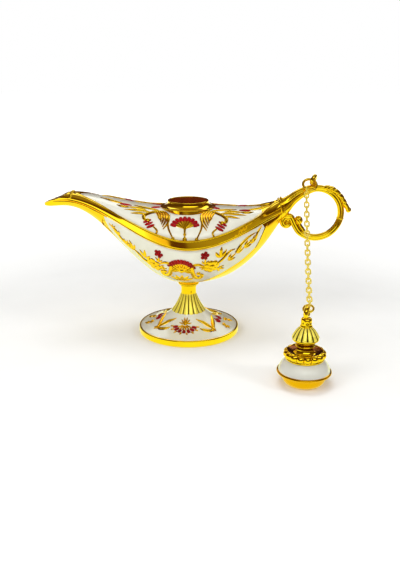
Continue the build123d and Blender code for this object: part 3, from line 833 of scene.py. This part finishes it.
def stemProfile():
    s = footSet
    cup, cupLow, (radius, low) = s.cup, s.cupLow, s.stem
    neck = spline([(radius, low - 0.6, 0), (radius, low + 0.6, 0), (radius - 0.05, low + 2.6, 0),
                   (radius + 0.3, cupLow - 0.2, 0)], 18)
    line = [(p.x, p.y) for p in neck]
    line += arcs((radius + 0.3, cupLow),
                 ((cup + 0.35, cupLow + 0.8), (cup - 0.2, cupLow + 1.6), 9),
                 ((cup - 0.35, cupLow + 2.0), (cup, cupLow + 2.4), 5))
    return line + [(cup, s.cupTop)]


footRim = addPiece("footRim", lathe(rimProfile(), footSet.sides), gold)
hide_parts("foot")
footWhite = addPiece("footEnamelSlope", lathe(slopeProfile(), footSet.sides), enamel)
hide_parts("foot_enamel")
fluteShape = lathe(fluteProfile(), footSet.flutes * footSet.fluteSides, fluteRipple)
flutes = addPiece("footFlutes", fluteShape, fluteHighlightGold, sharp=60)
markGrooves(flutes, footSet.flutes, *footSet.groove)
addPiece("footStem", lathe(stemProfile(), footSet.stemSides), gold)


# A place on the foot's slope is its radius and its angle round the foot
flowerSet = Settings(
    flowers=2, turn=-97, lift=0.03, heart=13.9, heartBead=(0.9, 0.8),
    petals=((3.7, 6.0), (205, 335), 7, (1.1, 2.0, 1.5), 0.7),
    tips=((5.7, 7.3), (198, 342), 8, (0.8, 1.2, 0.5), 0.6),
    ribs=((1.2, 3.9), (215, 325), 6, (0.7, 1.0, 0.8), 0.55),
    rays=((0.4, 3.6), (10, 170), 6, (0.5, 1.0, 0.3), 0.55), root=(19.4, 51), rootBead=(1.3, 0.8),
    rootSprig=(250, 20, 2.6), leaves=[[(17.0, 58), (14.6, 70), (12.3, 86)],
    [(16.6, 48), (13.8, 42), (11.4, 27)], [(19.8, 43), (18.6, 35), (17.0, 28)]],
    leafPens=[((0.7, 2.7, 0.25), 0.6), ((0.3, 0.75, 0.2), 0.95)], bud=(18.0, 98), budSprig=(100, 3.8),
    budLeaf=(21.4, 103), budLeafSprigs=[(250, 3.0), (70, 2.4)], budFoot=(20.0, 99), budBead=(1.0, 0.7))


def slopeFrame(place, side):
    radius, angle = place
    turn = radians(angle)
    cx, cz, big = circleOf(*footSlope)
    rise = sqrt(big * big - (radius - cx) ** 2)
    spot = Vector((radius * cos(turn), radius * sin(turn), cz - rise + flowerSet.lift))
    out = cx - radius
    return spot, Vector((out * cos(turn), out * sin(turn), rise)).normalized()


def slopeStep(place, right, rise):
    radius, angle = place
    return radius - rise, angle + degrees(right / radius)


def footOrnament(on):
    s = flowerSet
    golds, reds = [], []
    for i in range(s.flowers):
        front = s.turn + 360 * i / s.flowers
        heart = (s.heart, front)
        reds += rays(on, heart, *s.petals)
        for part in ("tips", "ribs", "rays"):
            golds += rays(on, heart, *s[part])
        golds.append(bead(on, heart, *s.heartBead))
        for way in (-1, 1):
            def at(place, way=way, front=front):
                return place[0], front + way * place[1]
            root = at(s.root)
            golds.append(bead(on, root, *s.rootBead))
            for leaf in s.leaves:
                golds += [stroke(on, [root] + [at(p) for p in leaf], *pen) for pen in s.leafPens]
            heading, lean, size = s.rootSprig
            golds += sprig(on, root, heading - lean * way, size)
            reds += sprig(on, at(s.bud), *s.budSprig)
            for some in s.budLeafSprigs:
                golds += sprig(on, at(s.budLeaf), *some)
            golds.append(bead(on, at(s.budFoot), *s.budBead))
    return golds, reds


golds, reds = footOrnament(Settings(frameAt=slopeFrame, stepAt=slopeStep, side=-1))
addPiece("footScrolls", join(golds), castGold)
addPiece("footFlowers", join(reds), ruby)
print("foot dressed")


# Handle: shaft, ridged loop, leaf, arm with its volute, and bud, all in one upright plane

def inPlane(x, z):
    return Vector((x, 0, z))


handleSet = Settings(
    loop=inPlane(67.2, 65.2), radius=13.1, bar=1.8, start=116, end=-112, shaftEnd=2.4, shaftShare=0.12,
    points=90, sides=80, groove=0.24, grooveWidth=0.26, knuckle=-12, knuckleRing=(1.6, 0.4))
tailTop = seamZ(bodySet.tail) + deckHeight(bodySet.tail)
tailMid = (tailTop + keelZ(bodySet.tail)) / 2
tailHalf = (tailTop - keelZ(bodySet.tail)) / 2


def onLoop(angle, lift=0.0):
    turn = radians(angle)
    reach = handleSet.radius + lift
    return handleSet.loop + inPlane(cos(turn), sin(turn)) * reach


def dent(turn, at, width):
    away = abs((turn - at + pi) % (2 * pi) - pi)
    return exp(-(away / width) ** 2)


# Stations along the shaft: middle, way out to its top, half height and half width
shaftSet = Settings(
    middle=[(49.0, 0, tailMid), (51.4, 0, 69.4), (54.1, 0, 72.1), (57.8, 0, 75.0), (61.46, 0, 76.97)],
    out=[(0, 0, 1), (-0.36, 0, 0.93), (-0.53, 0, 0.85), (-0.53, 0, 0.85), (-0.44, 0, 0.90)],
    half=[(tailHalf, 4.0, 0), (4.3, 3.6, 0), (3.2, 3.1, 0), (2.75, 2.75, 0), (2.4, 2.4, 0)], groove=0.09,
    grooveFrom=(0.25, 0.5), grooveAt=radians(302), grooveWidth=0.13, grid=(49, 72))


def shaftPiece():
    s = shaftSet
    rows, columns = s.grid
    middle, out, half = (spline(s[key], rows) for key in ("middle", "out", "half"))

    def pointAt(v, u):
        i, turn = round(v * (rows - 1)), 2 * pi * u
        cut = 1 - s.groove * smooth(v, *s.grooveFrom) * dent(turn, s.grooveAt, s.grooveWidth)
        tall, wide = half[i].x * cos(turn) * cut, half[i].y * sin(turn) * cut
        return middle[i] + out[i].normalized() * tall + Vector((0, wide, 0))
    return grid(rows, columns, pointAt, closed=True)


# A round bar with a groove along each side
def ridged(turn, radius):
    dents = sum(dent(turn, at, handleSet.grooveWidth) for at in (pi / 2, 3 * pi / 2))
    cut = 1 - handleSet.groove * dents
    return radius * cut * cos(turn), radius * cut * sin(turn)


def loopPiece():
    s = handleSet
    path = [onLoop(mix(s.start, s.end, i / (s.points - 1))) for i in range(s.points)]

    def section(v, turn):
        thick = smooth(s.shaftShare - v, 0, s.shaftShare)
        return ridged(turn, mix(s.bar, s.shaftEnd, thick))
    return sweep(path, section, s.sides)


def knucklePiece():
    at = handleSet.knuckle
    return torus(onLoop(at), onLoop(at + 1) - onLoop(at - 1), *handleSet.knuckleRing)


# The leaf lies along the loop, given by angles and lifts, and is cut by slanting veins
leafSet = Settings(
    along=[(84, 0.2), (70, 1.2), (54, 1.9), (36, 2.1), (20, 2.5)], tip=inPlane(84.2, 66.9), tipBall=1.5,
    wide=(0.9, 2.6), tall=(0.7, 1.5), growTo=0.3, narrow=(0.55, 0.7), thin=(0.8, 0.75), veins=7,
    veinWidth=0.13, veinDepth=0.15, veinFrom=(0.04, 0.15), veinTo=(0.85, 0.95), points=150, sides=48)


def leafPiece():
    s = leafSet
    path = spline([onLoop(*place) for place in s.along] + [s.tip], s.points)

    def section(v, turn):
        grown = smooth(v, 0, s.growTo)
        (narrow, narrowFrom), (thin, thinFrom) = s.narrow, s.thin
        wide = mix(*s.wide, grown) * mix(1, narrow, smooth(v, narrowFrom, 1))
        tall = mix(*s.tall, grown) * mix(1, thin, smooth(v, thinFrom, 1))
        away = (s.veins * v + turn / pi) % 1
        vein = exp(-(min(away, 1 - away) / s.veinWidth) ** 2)
        cut = 1 - s.veinDepth * vein * smooth(v, *s.veinFrom) * (1 - smooth(v, *s.veinTo))
        return tall * cos(turn) * cut, wide * sin(turn) * cut
    return join([sweep(path, section, s.sides), ball(s.tip, s.tipBall)])


# The arm leaves the loop and winds into a volute round its heart
armSet = Settings(
    root=(-100, -112), bend=[inPlane(58.9, 55.0), inPlane(56.6, 58.2)],
    heart=inPlane(52.2, 60.4), heartBall=(0.9, 1.3), turns=(48, 560), radii=(3.1, 0.7), steps=14,
    bar=(1.75, 0.75), barFrom=0.2, points=150, sides=80)


def armPiece():
    s = armSet
    path = [onLoop(angle) for angle in s.root] + s.bend
    for i in range(s.steps):
        share = i / (s.steps - 1)
        turn = radians(mix(*s.turns, share))
        path.append(s.heart + inPlane(cos(turn), sin(turn)) * mix(*s.radii, share))

    def section(v, turn):
        return ridged(turn, mix(*s.bar, smooth(v, s.barFrom, 1)))
    return join([sweep(spline(path, s.points), section, s.sides), ball(s.heart, *s.heartBall)])


budSet = Settings(
    root=(-112, -0.6), stalk=[inPlane(60.7, 56.5), inPlane(59.0, 58.9), inPlane(58.6, 60.3)],
    stalkRadius=0.95, ends=[inPlane(59.4, 59.2), inPlane(57.3, 63.6)], radius=2.1, lobes=3,
    lobe=0.16, blunt=0.002)


def budPiece():
    s = budSet

    def bud(v, turn):
        lobe = 1 - s.lobe + s.lobe * abs(cos(s.lobes * turn)) ** 0.5
        radius = s.radius * sqrt(max(1 - (2 * v - 1) ** 2, s.blunt)) * lobe
        return radius * cos(turn), radius * sin(turn)
    stalk = sweep(spline([onLoop(*s.root)] + s.stalk, 30), roundSection(s.stalkRadius), 20)
    return join([stalk, sweep(spline(s.ends, 24), bud, 48)])


handle = addPiece("scrolledHandle", join([shaftPiece(), loopPiece(), leafPiece(), knucklePiece(), armPiece(),
                                          budPiece()]), gold)
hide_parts("handle")


# Two thin rings over the tail, where the shaft starts
bolsterSet = Settings(
    rings=2, low=-14, first=48.9, lean=1.9, apart=1.3, proud=0.85, taper=0.2, wire=0.55, steps=60, sides=16)


def bolsterPiece():
    s = bolsterSet
    shapes = []
    for k in range(s.rings):
        path = []
        for i in range(s.steps + 1):
            share = abs(2 * i / s.steps - 1)
            x = s.first + k * s.apart - s.lean * (1 - share)
            spot = bodyPoint(min(x, bodySet.tail), mix(90, s.low, share), s.proud - s.taper * k,
                             -1 if 2 * i < s.steps else 1)
            spot.x = x
            path.append(spot)
        shapes.append(sweep(path, roundSection(s.wire), s.sides, Vector((1, 0, 0))))
    return join(shapes)


bolster = addPiece("tailBolster", bolsterPiece(), gold)
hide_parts("tail_bolster")
print("handle dressed")


# Lid, on its own axis where the frame has it

lidLow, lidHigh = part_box("lid_cap")
lidAt = ((lidLow[0] + lidHigh[0]) / 2 / mm, (lidLow[1] + lidHigh[1]) / 2 / mm)
lidSet = Settings(
    plug=9.8, plugFoot=7.2, plugSide=3.4, bore=6.2, boreTop=9.0, plugTop=5.0, flange=12.0, bead=0.5,
    beadTop=6.6, domeMid=(10.6, 9.5), domeTop=(8.3, 11.9))
saucerSet = Settings(
    foot=[(7.4, 11.9), (8.4, 12.0)], cordMid=(9.0, 12.45), cordTop=(8.8, 12.9), rim=(9.45, 14.0), rimTop=8.3,
    top=16.2, well=15.3, wellMid=6.6, wellFoot=4.2, petals=16, sides=280)
petalRipple = lobed(saucerSet.petals, bend=0.7, middle=0.7, depths=(1.1, 1.1), fadeIn=(0.28, 0.4),
                    fadeOut=(0.82, 0.93))
finialSet = Settings(
    foot=5.2, footMid=(4.0, 16.6), ringLow=(4.1, 18.2), ringMid=(4.55, 18.5), ringTop=(4.1, 18.8),
    flareMid=(4.5, 20.0), flare=(5.6, 20.9), bulb=6.0, bulbLow=22.1, bulbBody=[(5.2, 24.2, 0),
    (4.0, 26.0, 0)], bulbTop=27.4, flutes=14, fluteSides=16, groove=(0.3, 0.65), knop=2.55, knopRows=8,
    knopRow=0.25, knopSides=96, nicks=8, tip=31.2, tipTop=1.2, eyeRadius=1.9, eyeWire=1.1, eyeSink=0.3)
bulbRipple = lobed(finialSet.flutes, bend=0.5, middle=0.75, depths=(0.75, 0.3), fadeIn=(0, 0.2))
nickRipple = lobed(finialSet.nicks, bend=6, middle=0, depths=(-0.4, -0.4), fadeIn=(0.40, 0.52),
                   fadeOut=(0.55, 0.64))


def plugProfile():
    s = lidSet
    bore, plug, top, flange = s.bore, s.plug, s.plugTop, s.flange
    line = [(bore, s.boreTop), (bore, 0.3), (bore + 0.3, 0.0), (s.plugFoot, 0.0)]
    line += arc((s.plugFoot, 0.0), (plug - 0.65, 1.15), (plug, s.plugSide), 12)
    line += [(plug, top - 0.2)]
    line += arcs((plug + 0.2, top),
                 ((flange - 0.3, top + 0.05), (flange, top + 0.2), 5),
                 ((flange + s.bead, top + 0.65), (flange, s.beadTop), 10))
    return line + [(flange - 0.8, s.beadTop)]


def domeProfile():
    s = lidSet
    line = arc((s.flange - 0.15, s.beadTop - 0.1), s.domeMid, s.domeTop, 26)
    return line + [(s.domeTop[0] - 1.2, s.domeTop[1] + 0.1)]


def saucerProfile():
    s = saucerSet
    rimTop, top = s.rimTop, s.top
    return s.foot + arcs(s.foot[-1], (s.cordMid, s.cordTop, 8), (s.rim, (rimTop, top - 0.2), 20),
                         ((rimTop - 0.25, top), (rimTop - 0.5, top - 0.1), 5))


def wellProfile():
    s = saucerSet
    return arc((s.rimTop - 0.4, s.top - 0.12), (s.wellMid, s.well + 0.15), (s.wellFoot, s.well), 16)


def neckProfile():
    s = finialSet
    bulb, low = s.bulb, s.bulbLow
    return arcs((s.foot, saucerSet.well - 0.05), (s.footMid, s.ringLow, 14),
                (s.ringMid, s.ringTop, 6), (s.flareMid, s.flare, 9),
                ((bulb + 0.05, low - 0.6), (bulb - 0.2, low), 7))


def bulbProfile():
    s = finialSet
    bulb, low = s.bulb, s.bulbLow
    shoulder = (bulb - 0.05, low + 0.7)
    line = arc((bulb - 0.5, low - 0.5), (bulb + 0.05, low), shoulder, 7)
    body = spline([(*shoulder, 0)] + s.bulbBody + [(s.knop, s.bulbTop, 0)], 24)
    return line + [(p.x, p.y) for p in body]


# The knop is a plain cylinder with a row of nicks
def knopProfile():
    s = finialSet
    knop, low, tip = s.knop, s.bulbTop, s.tip
    side, sideLow = knop - 0.05, low + 0.8
    line = arc((knop - 0.1, low - 0.2), (knop + 0.3, low + 0.3), (side, sideLow), 7)
    line += [(side, sideLow + s.knopRow * i) for i in range(1, s.knopRows + 1)]
    line += arc((side, tip - 0.4), (knop - 0.35, tip + 0.15), (s.tipTop, tip + 0.5), 7)
    return line + [(0.01, tip + 0.5)]


eyeRise = finialSet.eyeRadius + finialSet.eyeWire - finialSet.eyeSink
lidEye = Vector((*lidAt, finialSet.tip + eyeRise))
eyeAxis = Vector(next(j["axis"] for j in frame["joints"] if j["name"] == "lid_swing"))
plug = addPiece("lidPlug", lathe(plugProfile(), at=lidAt), plugShadeGold, "lid")
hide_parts("lid_cap")
dome = addPiece("lidDome", lathe(domeProfile(), at=lidAt), pearl, "lid")
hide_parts("lid_enamel")
saucer = addPiece("lidSaucer", lathe(saucerProfile(), saucerSet.sides, petalRipple, lidAt), gold, "lid", 60)
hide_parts("lid_saucer")
addPiece("lidSaucerWell", lathe(wellProfile(), at=lidAt), wellShadeGold, "lid")
finialShape = join([lathe(neckProfile(), at=lidAt),
                    lathe(knopProfile(), finialSet.knopSides, nickRipple, lidAt),
                    torus(lidEye, eyeAxis, finialSet.eyeRadius, finialSet.eyeWire)])
finial = addPiece("lidFinial", finialShape, gold, "lid", 60)
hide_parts("lid_finial")
bulbShape = lathe(bulbProfile(), finialSet.flutes * finialSet.fluteSides, bulbRipple, lidAt)
bulb = addPiece("lidBulb", bulbShape, fluteHighlightGold, "lid", 60)
markGrooves(bulb, finialSet.flutes, *finialSet.groove)
print("lid dressed")


# CAD nodes that keep their own shape. The plating thickens the fine ones, in millimetres.

platingSet = {"chain_eye": 0.25, "handle_ring": 0.15, "lid_ring": 0.1, "chain_link": 0.12}
plainSet = {"lower_hull": gold, "upper_deck": gold, "foot_screw": steel, "lid_nut": steel}
cadSharp = 30
for node, solid in frame["nodes"].items():
    kind = "chain_link" if node.startswith("chain_link") else node
    if kind in plainSet:
        dress(solid.data, plainSet[kind], cadSharp)
    if kind in platingSet:
        dress(solid.data, chainGold if kind == "chain_link" else ringGold, cadSharp)
        layer = solid.modifiers.new("plating", "DISPLACE")
        layer.strength = platingSet[kind] * mm
        layer.mid_level = 0


# Floor, light and camera, in metres

floorSet = Settings(
    reach=4.0, drop=0.0002, rough=0.9, grain=40, dark=(0.93, 0.93, 0.93), light=(0.95, 0.95, 0.95),
    toward=(0.6, -0.8, 0), roomEnd=0.30, room=[(0.12, (1.60, 1.60, 1.50)), (0.19, (1.05, 0.95, 0.6)),
    (0.33, (1.0, 0.75, 0.35)), (0.37, (0.10, 0.04, 0.015)), (0.57, (0.12, 0.05, 0.03)),
    (0.66, (0.28, 0.21, 0.11)), (0.86, (0.42, 0.35, 0.20)), (1.0, (0.20, 0.13, 0.07))],
    paper=(1.1, 1.15, 0.5), paperEdge=(0.18, 0.15), glowFrom=(0.14, 0.45), glow=0.6)


def floorMaterial():
    s = floorSet
    material, tree, shader = newMaterial("floorPaper", Roughness=s.rough, Specular_IOR_Level=0.0,
                                         Emission_Color=(1, 1, 1, 1))
    tree.links.new(clouded(tree, s.grain, s.dark, s.light), shader.inputs["Base Color"])
    place = addNode(tree, "TexCoord").outputs["Object"]
    away = addNode(tree, "VectorMath", {0: place}, operation="LENGTH").outputs["Value"]
    # What polished metal sees of the floor: pale paper round the lamp, and a dim room past its edge
    toward = addNode(tree, "VectorMath", {0: place, 1: s.toward}, operation="DOT_PRODUCT").outputs["Value"]
    room = ramp(tree, mapped(tree, toward, 0, s.roomEnd), s.room)
    seen = blended(tree, smoothed(tree, away, *s.paperEdge), room, s.paper)
    glow = addNode(tree, "Emission", {"Color": seen}).outputs["Emission"]
    mirrored = addNode(tree, "LightPath").outputs["Is Glossy Ray"]
    both = chosen(tree, mirrored, shader.outputs["BSDF"], glow)
    tree.links.new(both, tree.nodes["Material Output"].inputs["Surface"])
    # The paper stays white to its edges, where the lights no longer reach
    far = mapped(tree, away, *s.glowFrom, 0.0, s.glow)
    tree.links.new(far, shader.inputs["Emission Strength"])
    return material


def addFloor():
    mesh = bpy.data.meshes.new("floor")
    reach = floorSet.reach
    corners = [(-reach, -reach, 0), (reach, -reach, 0), (reach, reach, 0), (-reach, reach, 0)]
    mesh.from_pydata(corners, [], [(0, 1, 2, 3)])
    mesh.materials.append(floorMaterial())
    floor = addObject("floor", mesh)
    floor.location.z = -floorSet.drop


# Area lights that the polished metal doesn't mirror, with their power in watts
lightSet = Settings(
    key=dict(at=(-0.50, -0.42, 0.48), toward=(0, 0, 0.05), size=(0.30, 0.30), power=1.5),
    side=dict(at=(0.55, -0.30, 0.40), toward=(0.02, 0, 0.05), size=(0.10, 0.35), power=0.9),
    top=dict(at=(-0.05, 0.10, 0.80), toward=(0, 0, 0.05), size=(0.45, 0.30), power=1.6),
    fill=dict(at=(-0.05, -0.62, 0.52), toward=(0, 0, 0.03), size=(0.50, 0.30), power=1.4))


def addLight(name, at, toward, size, power):
    light = bpy.data.lights.new(name, "AREA")
    light.shape = "RECTANGLE"
    light.size, light.size_y = size
    light.energy = power
    lamp = addObject(name, light)
    lamp.location = at
    lamp.visible_glossy = False
    lamp.rotation_euler = (Vector(toward) - Vector(at)).to_track_quat("-Z", "Y").to_euler()


# The world is white to the camera, soft light to dull surfaces, and a dim room to polished metal. The room
# has soft boxes high in front and behind, given by the ranges of direction over which they fade in.
worldSet = Settings(
    white=(1, 1, 1), soft=(1.0, 1.0, 0.97), strength=0.48, walls=[(0.0, (0.40, 0.32, 0.22)),
    (0.10, (0.07, 0.03, 0.015)), (0.45, (0.10, 0.05, 0.02)), (0.75, (0.14, 0.08, 0.04)),
    (1.0, (0.35, 0.28, 0.2))], box=(1.8, 1.85, 1.7), across=(0.38, 0.5), above=(0.45, 0.55),
    beside=(-0.45, -0.3), below=(0.85, 0.72))


def mathNode(tree, operation, *sources):
    return addNode(tree, "Math", dict(enumerate(sources)), operation=operation).outputs["Value"]


def background(tree, colour, strength=1.0):
    return addNode(tree, "Background", {"Color": colour, "Strength": strength}).outputs["Background"]


def addWorld():
    s = worldSet
    world = bpy.data.worlds.new("studio")
    world.use_nodes = True
    tree = world.node_tree
    tree.nodes.clear()
    place = addNode(tree, "TexCoord").outputs["Generated"]
    split = addNode(tree, "SeparateXYZ", {"Vector": place}).outputs
    walls = ramp(tree, split["Z"], s.walls)
    box = smoothed(tree, mathNode(tree, "ABSOLUTE", split["Y"]), *s.across)
    for axis, part in (("Z", "above"), ("X", "beside"), ("Z", "below")):
        box = mathNode(tree, "MULTIPLY", box, smoothed(tree, split[axis], *s[part]))
    room = background(tree, blended(tree, box, walls, s.box))
    soft = background(tree, (*s.soft, 1), s.strength)
    white = background(tree, (*s.white, 1))
    path = addNode(tree, "LightPath").outputs
    lit = chosen(tree, path["Is Glossy Ray"], soft, room)
    addNode(tree, "OutputWorld", {"Surface": chosen(tree, path["Is Camera Ray"], lit, white)})
    bpy.context.scene.world = world


cameraSet = Settings(lens=42.3, sensor=36, near=0.01, at=(0.0062, -0.3474, 0.1363), down=17.7)


def addCamera():
    s = cameraSet
    camera = bpy.data.cameras.new("view")
    camera.lens = s.lens
    camera.sensor_width = s.sensor
    camera.clip_start = s.near
    holder = addObject("view", camera)
    holder.location = s.at
    holder.rotation_euler = (radians(90 - s.down), 0, 0)
    bpy.context.scene.camera = holder


addFloor()
addWorld()
for name, values in lightSet.items():
    addLight(name, **values)
addCamera()
bpy.context.scene.view_settings.view_transform = "Standard"
